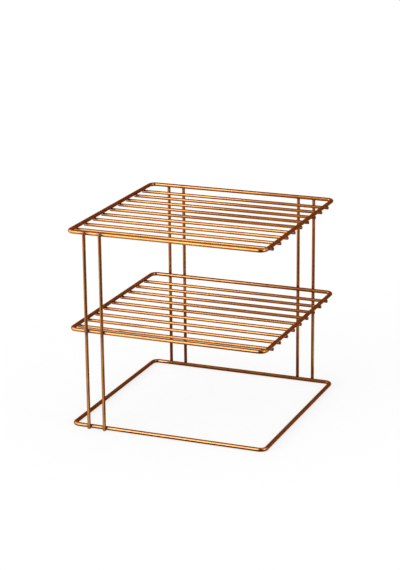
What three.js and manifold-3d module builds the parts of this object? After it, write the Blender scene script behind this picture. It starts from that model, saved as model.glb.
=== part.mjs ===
// Cabinet shelf organizer: a welded wire rack with an open base ring and two slatted shelves.
//
// Millimetres, +Z up. The origin is on the supporting surface, under the middle of the rack. +X runs to the
// right along the front edge and +Y to the back. Widths, depths and tier rises are between wire centres.
//
// Every piece is round wire. Three bent rings carry the shelves, straight slats are welded under the side
// runs of the upper two rings, and pairs of upright legs are welded to the outside of the front and back runs.

import * as THREE from "three";
import { mergeVertices } from "three/addons/utils/BufferGeometryUtils.js";
import Module from "manifold-3d";

// Wire gauges
const FRAME_WIRE = 4.8;
const SLAT_WIRE = 4.0;
const LEG_WIRE = 4.0;

// Rings
const RACK_WIDTH = 250;
const RACK_DEPTH = 250;
const BEND_RADIUS = 7.5;
const LOWER_TIER_RISE = 122.5;
const UPPER_TIER_RISE = 122.5;

// Slats
const SLAT_COUNT = 9;
const SLAT_END_PAST_SIDE_RUN = 2.2;

// Legs
const LEG_PAIR_SPACING = 20.6;
const LEFT_LEG_INSET = 23;
const RIGHT_LEG_INSET = 27;
const LEG_TOP_BELOW_CROWN = 1.9;

// Welds and cut ends
const WELD_SET_DOWN = 0.3;
const WELD_GAP = 0.3;
const END_CHAMFER = 0.4;

// Facets of the round wire. A multiple of four keeps a flat on the top, bottom and both sides.
const WIRE_SIDES = 16;
const STEPS_PER_BEND = 8;

// Facet corners closer than this are one corner.
const SAME_CORNER = 1e-4;

// Copper-coloured plating under clear lacquer
const COPPER_COLOUR = 0xb8733a;
const COPPER_ROUGHNESS = 0.24;
const COPPER_METALNESS = 1.0;

// Heights of the wire centres in each ring, and what the welds set apart
const BASE_LEVEL = FRAME_WIRE / 2;
const MIDDLE_LEVEL = BASE_LEVEL + LOWER_TIER_RISE;
const TOP_LEVEL = MIDDLE_LEVEL + UPPER_TIER_RISE;
const SLAT_DROP = (FRAME_WIRE + SLAT_WIRE) / 2 - WELD_SET_DOWN;
const LEG_STAND_OFF = (FRAME_WIRE + LEG_WIRE) / 2 - WELD_SET_DOWN;
const FRONT_LEG_LINE = -RACK_DEPTH / 2 - LEG_STAND_OFF;
const BACK_LEG_LINE = RACK_DEPTH / 2 + LEG_STAND_OFF;

const wasm = await Module();
wasm.setup();

// Round wire as a polygon whose flats lie at the wire's diameter.
function wireSection(diameter) {
  const corner = diameter / 2 / Math.cos(Math.PI / WIRE_SIDES);
  const points = [];
  for (let i = 0; i < WIRE_SIDES; i++) {
    const angle = ((i + 0.5) / WIRE_SIDES) * 2 * Math.PI;
    points.push(new THREE.Vector2(corner * Math.cos(angle), corner * Math.sin(angle)));
  }
  return new THREE.Shape(points);
}

// The centre line of a ring: four straight runs joined by quarter-circle bends, from the middle of the back
// run once round to the same point. It hands out its stations in order, so that a section stands at each
// end of a run and at even steps round a bend, and none is spent along the straights.
class RingPath extends THREE.Curve {
  constructor(width, depth, radius) {
    super();
    const seam = { point: new THREE.Vector3(0, depth / 2, 0), tangent: new THREE.Vector3(1, 0, 0) };
    this.stations = [seam];
    for (let corner = 0; corner < 4; corner++) {
      const firstAngle = ((1 - corner) * Math.PI) / 2;
      const centre = new THREE.Vector3(
        Math.sign(Math.cos(firstAngle - Math.PI / 4)) * (width / 2 - radius),
        Math.sign(Math.sin(firstAngle - Math.PI / 4)) * (depth / 2 - radius),
        0,
      );
      for (let step = 0; step <= STEPS_PER_BEND; step++) {
        const angle = firstAngle - ((step / STEPS_PER_BEND) * Math.PI) / 2;
        const outward = new THREE.Vector3(Math.cos(angle), Math.sin(angle), 0);
        const tangent = new THREE.Vector3(Math.sin(angle), -Math.cos(angle), 0);
        this.stations.push({ point: outward.multiplyScalar(radius).add(centre), tangent });
      }
    }
    this.stations.push(seam);
    this.steps = this.stations.length - 1;
  }

  getPointAt(share) {
    return this.stations[Math.round(share * this.steps)].point.clone();
  }

  getTangentAt(share) {
    return this.stations[Math.round(share * this.steps)].tangent.clone();
  }
}

// Positions alone, with shared corners merged, so that neighbouring facets meet.
function weldedCorners(geometry) {
  geometry.deleteAttribute("normal");
  geometry.deleteAttribute("uv");
  return mergeVertices(geometry, SAME_CORNER);
}

// A closed ring of wire. The sweep's two lids meet at the seam and are left out, as a butt weld that is
// dressed flush leaves no joint.
function ringGeometry(diameter) {
  const path = new RingPath(RACK_WIDTH, RACK_DEPTH, BEND_RADIUS);
  const sweep = new THREE.ExtrudeGeometry(wireSection(diameter), { steps: path.steps, extrudePath: path });
  const [, walls] = sweep.groups;
  const { array, itemSize } = sweep.attributes.position;
  const wallCorners = array.slice(walls.start * itemSize, (walls.start + walls.count) * itemSize);
  const ring = new THREE.BufferGeometry();
  ring.setAttribute("position", new THREE.BufferAttribute(wallCorners, itemSize));
  return mergeVertices(ring, SAME_CORNER);
}

// A straight wire along +Z from the origin, with both cut ends chamfered.
function rodGeometry(diameter, length) {
  const rod = new THREE.ExtrudeGeometry(wireSection(diameter), {
    depth: length - 2 * END_CHAMFER,
    bevelSize: END_CHAMFER,
    bevelOffset: -END_CHAMFER,
    bevelThickness: END_CHAMFER,
    bevelSegments: 1,
  });
  rod.translate(0, 0, END_CHAMFER);
  return weldedCorners(rod);
}

function toSolid(geometry) {
  const vertProperties = new Float32Array(geometry.attributes.position.array);
  const triVerts = new Uint32Array(geometry.index.array);
  return new wasm.Manifold(new wasm.Mesh({ numProp: 3, vertProperties, triVerts }));
}

function toGeometry(solid) {
  const { vertProperties, triVerts } = solid.getMesh();
  const geometry = new THREE.BufferGeometry();
  geometry.setAttribute("position", new THREE.BufferAttribute(vertProperties, 3));
  geometry.setIndex(new THREE.BufferAttribute(triVerts, 1));
  geometry.computeVertexNormals();
  return geometry;
}

// Takes the saddles out of a rod: the hollows that the rings press into it at its welds.
function saddledRod(rod, ringLevels) {
  let solid = toSolid(rod);
  for (const level of ringLevels) {
    const ring = ringGeometry(FRAME_WIRE + 2 * WELD_GAP);
    ring.translate(0, 0, level);
    solid = solid.subtract(toSolid(ring));
  }
  return toGeometry(solid);
}

const rack = new THREE.Group();

function addPiece(parent, name, geometry) {
  const material = new THREE.MeshStandardMaterial({
    color: COPPER_COLOUR,
    roughness: COPPER_ROUGHNESS,
    metalness: COPPER_METALNESS,
  });
  const piece = new THREE.Mesh(geometry, material);
  piece.name = name;
  parent.add(piece);
}

// A tier is a group at the height of its ring's wire centre.
function addTier(level) {
  const tier = new THREE.Group();
  tier.position.z = level;
  rack.add(tier);
  return tier;
}

// Evenly spaced slats from the front run to the back run, each welded under both side runs.
function addSlats(tier, prefix) {
  const length = RACK_WIDTH + 2 * SLAT_END_PAST_SIDE_RUN;
  const pitch = RACK_DEPTH / (SLAT_COUNT + 1);
  for (let i = 1; i <= SLAT_COUNT; i++) {
    const rod = rodGeometry(SLAT_WIRE, length);
    rod.rotateY(Math.PI / 2);
    rod.translate(-length / 2, -RACK_DEPTH / 2 + i * pitch, -SLAT_DROP);
    addPiece(tier, `${prefix}_slat_${i}`, saddledRod(rod, [0]));
  }
}

// An upright from the supporting surface to just below the top ring's crown.
function addLeg(name, x, y) {
  const length = TOP_LEVEL + FRAME_WIRE / 2 - LEG_TOP_BELOW_CROWN;
  const rod = rodGeometry(LEG_WIRE, length);
  rod.translate(x, y, 0);
  addPiece(rack, name, saddledRod(rod, [BASE_LEVEL, MIDDLE_LEVEL, TOP_LEVEL]));
}

// Two uprights side by side. The outer one is the nearer to the corner.
function addLegPair(prefix, side, inset, y) {
  const outer = side * (RACK_WIDTH / 2 - inset);
  addLeg(`${prefix}_leg_outer`, outer, y);
  addLeg(`${prefix}_leg_inner`, outer - side * LEG_PAIR_SPACING, y);
}

const baseTier = addTier(BASE_LEVEL);
const middleTier = addTier(MIDDLE_LEVEL);
const topTier = addTier(TOP_LEVEL);
addPiece(baseTier, "base_frame", ringGeometry(FRAME_WIRE));
addPiece(middleTier, "middle_frame", ringGeometry(FRAME_WIRE));
addPiece(topTier, "top_frame", ringGeometry(FRAME_WIRE));

addSlats(middleTier, "middle");
addSlats(topTier, "top");

// The front right corner stays open for loading.
addLegPair("front_left", -1, LEFT_LEG_INSET, FRONT_LEG_LINE);
addLegPair("back_left", -1, LEFT_LEG_INSET, BACK_LEG_LINE);
addLegPair("back_right", 1, RIGHT_LEG_INSET, BACK_LEG_LINE);

export default rack;
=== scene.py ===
"""Looks of the cabinet shelf organizer: a rack of copper-plated steel wire on a plain pale floor.

Every length of wire is swept again with a round section, rolled cut ends, bends and pressed weld
saddles, and a collar of weld metal fills each crossing. Metres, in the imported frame: +X right, +Y back,
+Z up.
"""

from typing import NamedTuple

import bpy
import numpy as np
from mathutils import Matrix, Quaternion, Vector


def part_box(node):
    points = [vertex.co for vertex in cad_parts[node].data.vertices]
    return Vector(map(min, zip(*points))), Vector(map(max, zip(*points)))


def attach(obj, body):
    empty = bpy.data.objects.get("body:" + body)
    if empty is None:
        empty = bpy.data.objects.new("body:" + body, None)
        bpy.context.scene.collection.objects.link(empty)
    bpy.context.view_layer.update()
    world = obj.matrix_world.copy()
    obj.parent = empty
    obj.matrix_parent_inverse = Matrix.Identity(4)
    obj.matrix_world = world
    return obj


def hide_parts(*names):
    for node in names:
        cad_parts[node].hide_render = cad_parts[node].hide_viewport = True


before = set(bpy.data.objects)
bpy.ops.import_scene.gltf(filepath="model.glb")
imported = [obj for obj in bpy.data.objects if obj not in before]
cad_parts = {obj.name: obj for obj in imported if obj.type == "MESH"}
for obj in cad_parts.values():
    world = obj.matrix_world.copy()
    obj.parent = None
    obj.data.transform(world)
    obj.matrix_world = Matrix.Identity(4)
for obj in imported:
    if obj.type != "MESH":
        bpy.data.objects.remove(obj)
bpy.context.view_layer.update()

MM = 0.001
X, Y, Z = np.eye(3)

# Forming of the wire
BEND_RADIUS = 7.5 * MM
BEND_THINNING = 0.03
END_ROUNDING = 0.55 * MM
BUTT_WELD_SWELL = 0.12 * MM
BUTT_WELD_REACH = 1.6 * MM

# Weld collars
COLLAR_GAP = 0.55 * MM
COLLAR_ROOT = 0.15 * MM
COLLAR_WAIST = 0.10
WELD_FILM = 0.02 * MM
# How far the welds' brown tint and the painted shade in the crossings reach.
HEAT_AND_SHADE_REACH = 5.0 * MM

# Fineness of the surfaces
WIRE_SIDES = 32
RUN_STEP = 2.0 * MM
BEND_STEPS = 20
END_STEPS = 5
SADDLE_STEP = 0.2 * MM
SADDLE_REACH = 3.0 * MM
COLLAR_SIDES = 24
COLLAR_ROWS = 7
# Stations along a wire that agree to a micrometre are one station.
STATION_DECIMALS = 6

# Names in the CAD model
SHELVES = ("middle", "top")
RINGS = ("base", "middle", "top")
LEGS = [
    f"{corner}_leg_{place}"
    for corner in ("front_left", "back_left", "back_right")
    for place in ("outer", "inner")
]
SLATS = {shelf: sorted(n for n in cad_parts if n.startswith(f"{shelf}_slat_")) for shelf in SHELVES}


def node_box(node):
    """Lowest and highest corner of a CAD node as arrays."""
    low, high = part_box(node)
    return np.array(low), np.array(high)


def node_centre(node):
    """Middle of a CAD node's box."""
    low, high = node_box(node)
    return (low + high) / 2


base_low, base_high = node_box("base_frame")
ring_radius = (base_high[2] - base_low[2]) / 2
half_width, half_depth = (base_high[:2] - base_low[:2]) / 2 - ring_radius
ring_level = {ring: node_centre(f"{ring}_frame")[2] for ring in RINGS}


def linear(hex_colour):
    """Linear RGBA of an sRGB hex colour such as #b8733a, by the sRGB curve."""
    srgb = np.array([int(hex_colour[i : i + 2], 16) for i in (1, 3, 5)]) / 255
    rgb = np.where(srgb <= 0.04045, srgb / 12.92, ((srgb + 0.055) / 1.055) ** 2.4)
    return (*rgb.tolist(), 1.0)


def add(tree, kind, inputs=None, **settings):
    """Adds a node of that kind. inputs gives sockets a value, or links them to another node's output."""
    made = tree.nodes.new(kind)
    for key, value in settings.items():
        setattr(made, key, value)
    for key, value in (inputs or {}).items():
        if isinstance(value, bpy.types.NodeSocket):
            tree.links.new(value, made.inputs[key])
        else:
            made.inputs[key].default_value = value
    return made


# Welds


class Weld(NamedTuple):
    """Where a straight wire crosses a ring: the point on the ring's axis, the directions of the ring and of
    the wire, the way from ring to wire, the wire's radius and the distance between the two axes."""

    at: np.ndarray
    ring: np.ndarray
    wire: np.ndarray
    away: np.ndarray
    radius: float
    apart: float


def list_welds():
    """The welds of every slat and leg, from the boxes of the CAD nodes. A slat lies under both side runs of
    its ring, and a leg stands outside the front or the back run of every ring."""
    found = {}
    for shelf in SHELVES:
        for slat in SLATS[shelf]:
            low, high = node_box(slat)
            centre = (low + high) / 2
            radius = (high[2] - low[2]) / 2
            drop = ring_level[shelf] - centre[2]
            on_runs = [np.array([side * half_width, centre[1], ring_level[shelf]]) for side in (-1, 1)]
            found[slat] = [Weld(at, Y, X, -Z, radius, drop) for at in on_runs]
    for leg in LEGS:
        low, high = node_box(leg)
        centre = (low + high) / 2
        radius = (high[0] - low[0]) / 2
        side = np.sign(centre[1])
        stand_off = abs(centre[1]) - half_depth
        on_runs = [np.array([centre[0], side * half_depth, ring_level[ring]]) for ring in RINGS]
        found[leg] = [Weld(at, X, Z, side * Y, radius, stand_off) for at in on_runs]
    return found


welds = list_welds()
weld_points = np.array([weld.at + weld.away * ring_radius for held in welds.values() for weld in held])


def weld_heat_and_shade(points):
    """How strongly a weld browns a surface point and darkens it with painted shade: 1 at a weld,
    falling by a bell curve over HEAT_AND_SHADE_REACH.
    """
    flat = points.reshape(-1, 3)
    gap = np.full(len(flat), np.inf)
    for point in weld_points:
        gap = np.minimum(gap, ((flat - point) ** 2).sum(1))
    return np.exp(-gap / HEAT_AND_SHADE_REACH**2)


# Surfaces


def skin(name, points, local, material, closed=False):
    """A mesh from grids of points shaped (copies, rows, sides, 3). Sides wrap round. Rows wrap on a closed
    ring, and otherwise a flat face closes each end. local is each point's place in its own wire, which the
    drawn lines follow."""
    copies, rows, sides, _ = points.shape
    row = np.arange(rows if closed else rows - 1)[:, None]
    side = np.arange(sides)[None, :]
    corners = [
        row * sides + side,
        row * sides + (side + 1) % sides,
        (row + 1) % rows * sides + (side + 1) % sides,
        (row + 1) % rows * sides + side,
    ]
    quads = np.stack(np.broadcast_arrays(*corners), -1).reshape(-1, 4)
    start = np.arange(copies)[:, None, None] * rows * sides
    faces = (quads[None] + start).reshape(-1, 4).tolist()
    if not closed:
        lids = np.stack([np.arange(sides)[::-1], np.arange(sides) + (rows - 1) * sides])
        faces += (lids[None] + start).reshape(-1, sides).tolist()
    mesh = bpy.data.meshes.new(name)
    mesh.from_pydata(points.reshape(-1, 3), [], faces)
    mesh.polygons.foreach_set("use_smooth", np.ones(len(faces), bool))
    place = mesh.attributes.new("wire_place", "FLOAT_VECTOR", "POINT")
    place.data.foreach_set("vector", np.ascontiguousarray(local, np.float32).ravel())
    # Weight of the welds' brown tint and of the painted shade round the crossings.
    heat_and_shade = mesh.attributes.new("weld_heat_and_shade", "FLOAT", "POINT")
    heat_and_shade.data.foreach_set("value", weld_heat_and_shade(points).astype(np.float32))
    mesh.update()
    piece = bpy.data.objects.new(name, mesh)
    piece.data.materials.append(material)
    bpy.context.scene.collection.objects.link(piece)
    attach(piece, "root")
    return piece


def bent_ring(ring, material):
    """A closed ring of wire. Its centre line is an inner rectangle's edge plus BEND_RADIUS along the
    outward normal: on a run the edge point moves and the normal stands still, on a bend the normal turns
    a quarter. The round section thins a little across each bend and swells a little at the butt weld in
    the back run, which is dressed flat underneath."""
    # The edge point and the normal's angle at the ends of each run and bend, clockwise from the butt weld
    edge_x = np.array([0, 1, 1, 1, 1, -1, -1, -1, -1, 0]) * (half_width - BEND_RADIUS)
    edge_y = np.array([1, 1, 1, -1, -1, -1, -1, 1, 1, 1]) * (half_depth - BEND_RADIUS)
    turn = np.array([1, 1, 0, 0, -1, -1, -2, -2, -3, -3]) * np.pi / 2
    lengths = np.hypot(np.diff(edge_x), np.diff(edge_y)) + BEND_RADIUS * np.abs(np.diff(turn))
    knots = np.concatenate([[0], np.cumsum(lengths)])

    # Stations along the ring and its centre line
    steps = [BEND_STEPS if i % 2 else int(np.ceil(length / RUN_STEP)) for i, length in enumerate(lengths)]
    along = np.concatenate(
        [np.linspace(knots[i], knots[i + 1], n, endpoint=False) for i, n in enumerate(steps)]
    )
    normal = np.interp(along, knots, turn)
    outward = np.stack([np.cos(normal), np.sin(normal), 0 * normal], 1)
    edge = np.stack([np.interp(along, knots, edge_x), np.interp(along, knots, edge_y), 0 * along], 1)
    centre = edge + BEND_RADIUS * outward + ring_level[ring] * Z

    # The section at each station
    bent = np.abs(np.sin(2 * normal))
    from_seam = np.minimum(along, knots[-1] - along)
    angle = np.arange(WIRE_SIDES) / WIRE_SIDES * 2 * np.pi
    dressed = np.clip(1 + np.sin(angle), 0, 1)
    swell = BUTT_WELD_SWELL * np.exp(-((from_seam / BUTT_WELD_REACH) ** 2))[:, None] * dressed
    across = (((ring_radius * (1 - BEND_THINNING * bent))[:, None] + swell) * np.cos(angle))[..., None]
    upright = ((ring_radius + swell) * np.sin(angle))[..., None]
    points = centre[:, None] + across * outward[:, None] + upright * Z
    local = np.concatenate([across, upright, np.broadcast_to(along[:, None, None], across.shape)], -1)
    piece = skin(f"{ring}_frame_wire", points[None], local, material, closed=True)
    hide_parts(f"{ring}_frame")


def cut_wire(node, direction, material):
    """A straight wire along its CAD node's middle. Its radius is constant, less a quarter round at each cut
    end, and where it crosses a ring its surface is pushed out of the ring, which leaves the weld's
    saddle."""
    low, high = node_box(node)
    centre = (low + high) / 2
    length = (high - low) @ direction
    radius = np.delete(high - low, np.argmax(direction)).min() / 2
    half = length / 2

    # Stations along the wire, close together round the cut ends and in the saddles
    roll = np.linspace(0, np.pi / 2, END_STEPS)
    end = half - END_ROUNDING * (1 - np.cos(roll[::-1]))
    body = np.linspace(END_ROUNDING - half, half - END_ROUNDING, int(length / RUN_STEP))
    saddle = np.arange(-SADDLE_REACH, SADDLE_REACH, SADDLE_STEP)
    saddles = [(weld.at - centre) @ direction + saddle for weld in welds[node]]
    inner = np.concatenate([body, *saddles])
    inner = np.unique(inner[np.abs(inner) <= half - END_ROUNDING].round(STATION_DECIMALS))
    along = np.concatenate([-end[::-1][:-1], inner, end[1:]])

    # The section at each station
    shrink = np.clip((np.abs(along) - (half - END_ROUNDING)) / END_ROUNDING, 0, 1)
    girth = radius - END_ROUNDING * (1 - np.sqrt(1 - shrink**2))
    side = Y if direction is X else X
    up = np.cross(direction, side)
    angle = np.arange(WIRE_SIDES) / WIRE_SIDES * 2 * np.pi
    across = (girth[:, None] * np.cos(angle))[..., None]
    upright = (girth[:, None] * np.sin(angle))[..., None]
    points = centre + along[:, None, None] * direction + across * side + upright * up
    local = np.concatenate([across, upright, np.broadcast_to(along[:, None, None], across.shape)], -1)
    for weld in welds[node]:
        beside = (points - weld.at) @ weld.wire
        height = (points - weld.at) @ weld.away
        reach = np.sqrt(np.clip(ring_radius**2 - beside**2, 0, None)) + WELD_FILM
        push = np.clip(reach - height, 0, None) * (np.abs(beside) < ring_radius)
        points = points + push[..., None] * weld.away
    piece = skin(f"{node}_wire", points[None], local, material)
    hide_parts(node)


def weld_collars(name, wires, material):
    """The weld metal squeezed out round each crossing. Its foot is an ellipse on both wires, where the gap
    between them has opened to COLLAR_GAP, and between the feet it narrows to a waist by a parabola."""
    crossings = [weld for node in wires for weld in welds[node]]
    at, ring, wire, away, radius, apart = (np.array(part)[:, None, None] for part in zip(*crossings))
    angle = np.arange(COLLAR_SIDES) / COLLAR_SIDES * 2 * np.pi
    sunk = ring_radius + radius - apart
    foot_wire = np.sqrt(ring_radius**2 - (ring_radius - sunk - COLLAR_GAP) ** 2) * np.cos(angle)
    foot_ring = np.sqrt(radius**2 - (radius - sunk - COLLAR_GAP) ** 2) * np.sin(angle)
    on_ring = np.sqrt(ring_radius**2 - foot_wire**2) - COLLAR_ROOT
    on_wire = apart - np.sqrt(radius**2 - foot_ring**2) + COLLAR_ROOT
    share = np.linspace(0, 1, COLLAR_ROWS)[None, :, None]
    waist = 1 - COLLAR_WAIST * 4 * share * (1 - share)
    height = on_ring + (on_wire - on_ring) * share
    points = (
        at
        + (foot_wire * waist)[..., None] * wire
        + (foot_ring * waist)[..., None] * ring
        + height[..., None] * away
    )
    local = np.stack(np.broadcast_arrays(foot_wire * waist, foot_ring * waist, height), -1)
    skin(name, points, local, material)


# Materials

PURE_WHITE = "#ffffff"

# The plating's tones. The drift from deep to pale takes up the middle of the noise's range.
COPPER = "#b67323"
COPPER_DEEP = "#a9681f"
COPPER_PALE = "#c37f2a"
COPPER_EDGE = "#d9a574"
TONE_DRIFT = 22 * MM
TONE_DEEP_AT = 0.3
TONE_PALE_AT = 0.7

# The die's lines are finer than a pixel, so they are drawn about four times as wide as they are.
DIE_LINE = 0.4 * MM
DIE_LINE_LENGTH = 60 * MM
DIE_LINE_DEPTH = 0.003 * MM
SMOOTHEST_LINE = 0.20
ROUGHEST_LINE = 0.28

LACQUER_ROUGHNESS = 0.04
LACQUER_RIPPLE = 1.8 * MM
LACQUER_RIPPLE_DEPTH = 0.005 * MM

# The darkening round a weld, part its brown tint and part painted shade in the crossing: the weight at
# which it starts and is full, its strength and the roughness it adds.
WELD_BROWN_AND_SHADE = "#6a2c0e"
BLOOM_AND_SHADE_STARTS = 0.15
BLOOM_AND_SHADE_FULL = 0.9
BLOOM_AND_SHADE_STRENGTH = 0.8
BLOOM_DULLING = 0.22


def copper_plate():
    """Drawn steel wire, bright copper plated and dipped in clear lacquer: a glossy metal with a deep
    orange-brown body, faint lines along the wire from the drawing die, and a darker, duller patch round the
    welds that is part the welds' brown tint and part painted shade in the crossings."""
    material = bpy.data.materials.new("lacquered_copper_plate_on_drawn_steel")
    material.use_nodes = True
    tree = material.node_tree
    shader = tree.nodes["Principled BSDF"]
    shader.inputs["Metallic"].default_value = 1.0
    shader.inputs["Coat Weight"].default_value = 1.0
    shader.inputs["Coat Roughness"].default_value = LACQUER_ROUGHNESS
    shader.inputs["Specular Tint"].default_value = linear(COPPER_EDGE)

    # The plating's thickness wanders, so its tone drifts along and round the wire.
    rack_place = add(tree, "ShaderNodeTexCoord").outputs["Object"]
    drift = add(
        tree, "ShaderNodeTexNoise", {"Vector": rack_place, "Scale": 1 / TONE_DRIFT, "Detail": 3.0}
    ).outputs["Fac"]
    tone = add(tree, "ShaderNodeValToRGB", {"Fac": drift})
    deep, pale = tone.color_ramp.elements
    deep.position = TONE_DEEP_AT
    deep.color = linear(COPPER_DEEP)
    pale.position = TONE_PALE_AT
    pale.color = linear(COPPER_PALE)
    tone.color_ramp.elements.new((TONE_DEEP_AT + TONE_PALE_AT) / 2).color = linear(COPPER)

    # A weld browns and dulls the plating round it, and the same darkening paints shade into the crossing.
    heat_and_shade = add(tree, "ShaderNodeAttribute", attribute_name="weld_heat_and_shade").outputs["Fac"]
    bloom_and_shade = add(
        tree,
        "ShaderNodeMapRange",
        {"Value": heat_and_shade, "From Min": BLOOM_AND_SHADE_STARTS, "From Max": BLOOM_AND_SHADE_FULL, "To Max": BLOOM_AND_SHADE_STRENGTH},
    ).outputs["Result"]
    colour = add(tree, "ShaderNodeMix", {"Factor": bloom_and_shade}, data_type="RGBA")
    tree.links.new(tone.outputs["Color"], colour.inputs["A"])
    colour.inputs["B"].default_value = linear(WELD_BROWN_AND_SHADE)
    tree.links.new(colour.outputs["Result"], shader.inputs["Base Color"])

    # The drawing die leaves lines that run along the wire.
    wire_place = add(tree, "ShaderNodeAttribute", attribute_name="wire_place").outputs["Vector"]
    stretched = add(
        tree,
        "ShaderNodeMapping",
        {"Vector": wire_place, "Scale": (1 / DIE_LINE, 1 / DIE_LINE, 1 / DIE_LINE_LENGTH)},
    ).outputs["Vector"]
    die_lines = add(
        tree, "ShaderNodeTexNoise", {"Vector": stretched, "Scale": 1.0, "Detail": 2.0}
    ).outputs["Fac"]
    lined = add(
        tree,
        "ShaderNodeMapRange",
        {"Value": die_lines, "To Min": SMOOTHEST_LINE, "To Max": ROUGHEST_LINE},
    ).outputs["Result"]
    dulled = add(
        tree, "ShaderNodeMath", {0: bloom_and_shade, 1: BLOOM_DULLING, 2: lined}, operation="MULTIPLY_ADD"
    ).outputs["Value"]
    tree.links.new(dulled, shader.inputs["Roughness"])
    scored = add(
        tree, "ShaderNodeBump", {"Height": die_lines, "Strength": 1.0, "Distance": DIE_LINE_DEPTH}
    ).outputs["Normal"]
    tree.links.new(scored, shader.inputs["Normal"])

    # The lacquer dries with a slight ripple.
    ripple = add(
        tree, "ShaderNodeTexNoise", {"Vector": rack_place, "Scale": 1 / LACQUER_RIPPLE, "Detail": 1.0}
    ).outputs["Fac"]
    rippled = add(
        tree, "ShaderNodeBump", {"Height": ripple, "Strength": 1.0, "Distance": LACQUER_RIPPLE_DEPTH}
    ).outputs["Normal"]
    tree.links.new(rippled, shader.inputs["Coat Normal"])
    return material


def seen_directly(tree):
    """1 on rays from the camera, from gloss and through glass, and 0 on rays that only carry light."""
    rays = add(tree, "ShaderNodeLightPath").outputs
    mirrored = add(
        tree,
        "ShaderNodeMath",
        {0: rays["Is Glossy Ray"], 1: rays["Is Transmission Ray"]},
        operation="MAXIMUM",
    ).outputs["Value"]
    return add(
        tree, "ShaderNodeMath", {0: rays["Is Camera Ray"], 1: mirrored}, operation="MAXIMUM"
    ).outputs["Value"]


def plain_paper(name, colour, glow=0.0, fade=None):
    """Matt studio paper: an even tone with no gloss. A share of glow, lit from behind, pales the shadows
    on it where they are seen. A fade takes it from clear to its full tone between two places along X."""
    material = bpy.data.materials.new(name)
    material.use_nodes = True
    tree = material.node_tree
    shader = tree.nodes["Principled BSDF"]
    shader.inputs["Base Color"].default_value = linear(colour)
    shader.inputs["Roughness"].default_value = 1.0
    shader.inputs["Specular IOR Level"].default_value = 0.0
    surface = shader.outputs["BSDF"]
    if glow:
        share = add(
            tree, "ShaderNodeMapRange", {"Value": seen_directly(tree), "To Max": glow}
        ).outputs["Result"]
        lit = add(
            tree, "ShaderNodeEmission", {"Color": linear(PURE_WHITE), "Strength": 1.0}
        ).outputs["Emission"]
        surface = add(tree, "ShaderNodeMixShader", {0: share, 1: surface, 2: lit}).outputs["Shader"]
    if fade:
        clear_at, full_at = fade
        place = add(tree, "ShaderNodeTexCoord").outputs["Object"]
        across = add(tree, "ShaderNodeSeparateXYZ", {"Vector": place}).outputs["X"]
        cover = add(
            tree, "ShaderNodeMapRange", {"Value": across, "From Min": clear_at, "From Max": full_at}
        ).outputs["Result"]
        clear = add(tree, "ShaderNodeBsdfTransparent").outputs["BSDF"]
        surface = add(tree, "ShaderNodeMixShader", {0: cover, 1: clear, 2: surface}).outputs["Shader"]
    tree.links.new(surface, tree.nodes["Material Output"].inputs["Surface"])
    return material


# The rack

copper = copper_plate()
for ring in RINGS:
    bent_ring(ring, copper)
for shelf in SHELVES:
    for slat in SLATS[shelf]:
        cut_wire(slat, X, copper)
    weld_collars(f"{shelf}_shelf_welds", SLATS[shelf], copper)
for leg in LEGS:
    cut_wire(leg, Z, copper)
weld_collars("leg_welds", LEGS, copper)

# Floor, light and camera

PAPER_WHITE = "#f3f3f3"
PAPER_GLOW = 0.7
FLOOR_REACH = 8.0
# The floor lies just clear of the wires that stand over it.
FLOOR_DROP = 0.02 * MM

# The world's strength as light and as seen, and each lamp's spread in degrees and strength.
WORLD_LIGHT = 0.85
WORLD_SEEN = 1.0
LAMP_SPREAD = 20
LAMP_LIGHT = 0.35

# Each lamp's compass angle from the front and its height, in degrees.
LAMPS = {
    # A tall highlight along the slats and the front and back runs.
    "low_lamp": (-22, 4),
    "middle_lamp": (-22, 19),
    "high_lamp": (-22, 34),
    # The same highlight carried round the left bends.
    "near_left_lamp": (-42, 19),
    "left_lamp": (-62, 19),
    "far_left_lamp": (-82, 19),
    # A glint on the right bends.
    "low_right_lamp": (74, 8),
    "high_right_lamp": (74, 26),
}

# Each card tone's colour, and the two places along X, in metres, between which it fades in, if it does.
CARD_BROWN = "#835a32"
SHADE_FADE = (-0.07, 0.05)
CARD_TONES = {
    "white": (PAPER_WHITE, None),
    "brown": (CARD_BROWN, None),
    "dark": ("#583921", None),
    "fading_peach": ("#f6d6ac", SHADE_FADE),
    "fading_brown": (CARD_BROWN, SHADE_FADE),
}

# Each card's tone and two opposite edges. An edge is its left and right end, how far back it is and its
# height, in metres.
CARDS = {
    # Darken the side runs and the upper edges of the slats.
    "back_card": ("brown", (-0.90, 0.50, 0.30, 0.00), (-0.90, 0.50, 0.30, 0.60)),
    "top_card": ("brown", (-0.50, 0.15, -0.10, 0.75), (-0.50, 0.15, 0.30, 0.60)),
    # Darkens the undersides.
    "under_card": ("brown", (-0.35, 0.90, -0.13, 0.00), (-0.35, 0.90, 1.60, 0.00)),
    # Brightens the lower half of the back legs.
    "floor_card": ("white", (0.15, 0.32, -0.13, 0.0005), (0.15, 0.32, 0.20, 0.0005)),
    # Darken the upper half of the front legs, and the right side of their lower half.
    "front_card": ("dark", (-0.20, 0.90, -1.10, 0.00), (-0.20, 0.90, -0.48, 0.00)),
    "right_card": ("dark", (0.16, 0.90, -0.48, 0.00), (-0.065, 0.90, -0.13, 0.00)),
    # Darkens the front of the right bends.
    "bend_card": ("dark", (-0.04, 1.10, -1.10, 0.00), (-0.04, 1.10, -1.10, 2.00)),
    # Soften the lamps' highlight on the back right of the shelves and on the base ring's back run.
    "shelf_shade": ("fading_peach", (-0.07, 0.12, -0.010, 0.124), (-0.07, 0.12, -0.010, 0.36)),
    "shelf_shade_front": ("fading_brown", (-0.07, 0.12, -0.011, 0.124), (-0.07, 0.12, -0.011, 0.36)),
    "base_shade": ("brown", (-0.12, 0.12, 0.09, 0.00), (-0.12, 0.12, 0.09, 0.05)),
}


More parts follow.
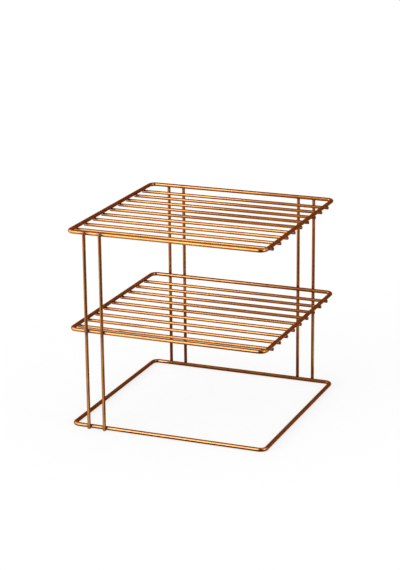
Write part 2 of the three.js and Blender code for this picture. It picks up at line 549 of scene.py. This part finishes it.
def direction_to(azimuth, elevation):
    """Unit vector from the rack towards a compass angle from the front, and a height, in degrees."""
    a, e = np.radians([azimuth, elevation])
    return Vector((np.sin(a) * np.cos(e), -np.cos(a) * np.cos(e), np.sin(e)))


def stage_sheet(name, corners, material):
    """One flat four-sided sheet that isn't part of the rack."""
    mesh = bpy.data.meshes.new(name)
    mesh.from_pydata(corners, [], [range(4)])
    mesh.materials.append(material)
    sheet = bpy.data.objects.new(name, mesh)
    bpy.context.scene.collection.objects.link(sheet)
    return sheet


def reflected_card(name, material, near, far):
    """A card that only the metal shows. It shapes what the wires reflect and takes no light away."""
    left, right, *place = near
    far_left, far_right, *far_place = far
    corners = [(left, *place), (right, *place), (far_right, *far_place), (far_left, *far_place)]
    card = stage_sheet(name, corners, material)
    card.visible_camera = False
    card.visible_diffuse = False
    card.visible_shadow = False


stage_sheet(
    "floor",
    [(x * FLOOR_REACH, y * FLOOR_REACH, -FLOOR_DROP) for x, y in ((-1, -1), (1, -1), (1, 1), (-1, 1))],
    plain_paper("matt_white_paper", PAPER_WHITE, PAPER_GLOW),
)
card_papers = {
    tone: plain_paper(f"matt_{tone}_card", colour, fade=fade) for tone, (colour, fade) in CARD_TONES.items()
}
for name, (tone, near, far) in CARDS.items():
    reflected_card(name, card_papers[tone], near, far)

# The world lights the set evenly, and the camera and the metal see it white.
world = bpy.data.worlds.new("studio")
bpy.context.scene.world = world
world.use_nodes = True
tree = world.node_tree
strength = add(
    tree, "ShaderNodeMapRange", {"Value": seen_directly(tree), "To Min": WORLD_LIGHT, "To Max": WORLD_SEEN}
).outputs["Result"]
tree.nodes["Background"].inputs["Color"].default_value = linear(PURE_WHITE)
tree.links.new(strength, tree.nodes["Background"].inputs["Strength"])

for name, (azimuth, elevation) in LAMPS.items():
    lamp_data = bpy.data.lights.new(name, "SUN")
    lamp_data.angle = np.radians(LAMP_SPREAD)
    lamp_data.energy = LAMP_LIGHT
    lamp = bpy.data.objects.new(name, lamp_data)
    bpy.context.scene.collection.objects.link(lamp)
    lamp.rotation_mode = "QUATERNION"
    lamp.rotation_quaternion = (-direction_to(azimuth, elevation)).to_track_quat("-Z", "Y")

# The camera's compass angle from the front, height and roll in degrees, and its lens in millimetres.
VIEW_AZIMUTH = 22.33
VIEW_ELEVATION = 16.995
VIEW_DISTANCE = 2309.8 * MM
VIEW_AIM = (-9.0 * MM, 6.2 * MM, 155.0 * MM)
VIEW_ROLL = 0.574
FOCAL_LENGTH = 117.02

camera_data = bpy.data.cameras.new("camera")
camera_data.lens = FOCAL_LENGTH
camera = bpy.data.objects.new("camera", camera_data)
bpy.context.scene.collection.objects.link(camera)
towards_camera = direction_to(VIEW_AZIMUTH, VIEW_ELEVATION)
camera.location = Vector(VIEW_AIM) + VIEW_DISTANCE * towards_camera
camera.rotation_mode = "QUATERNION"
level = (-towards_camera).to_track_quat("-Z", "Y")
camera.rotation_quaternion = level @ Quaternion((0, 0, 1), -np.radians(VIEW_ROLL))
bpy.context.scene.camera = camera
bpy.context.scene.view_settings.view_transform = "Standard"
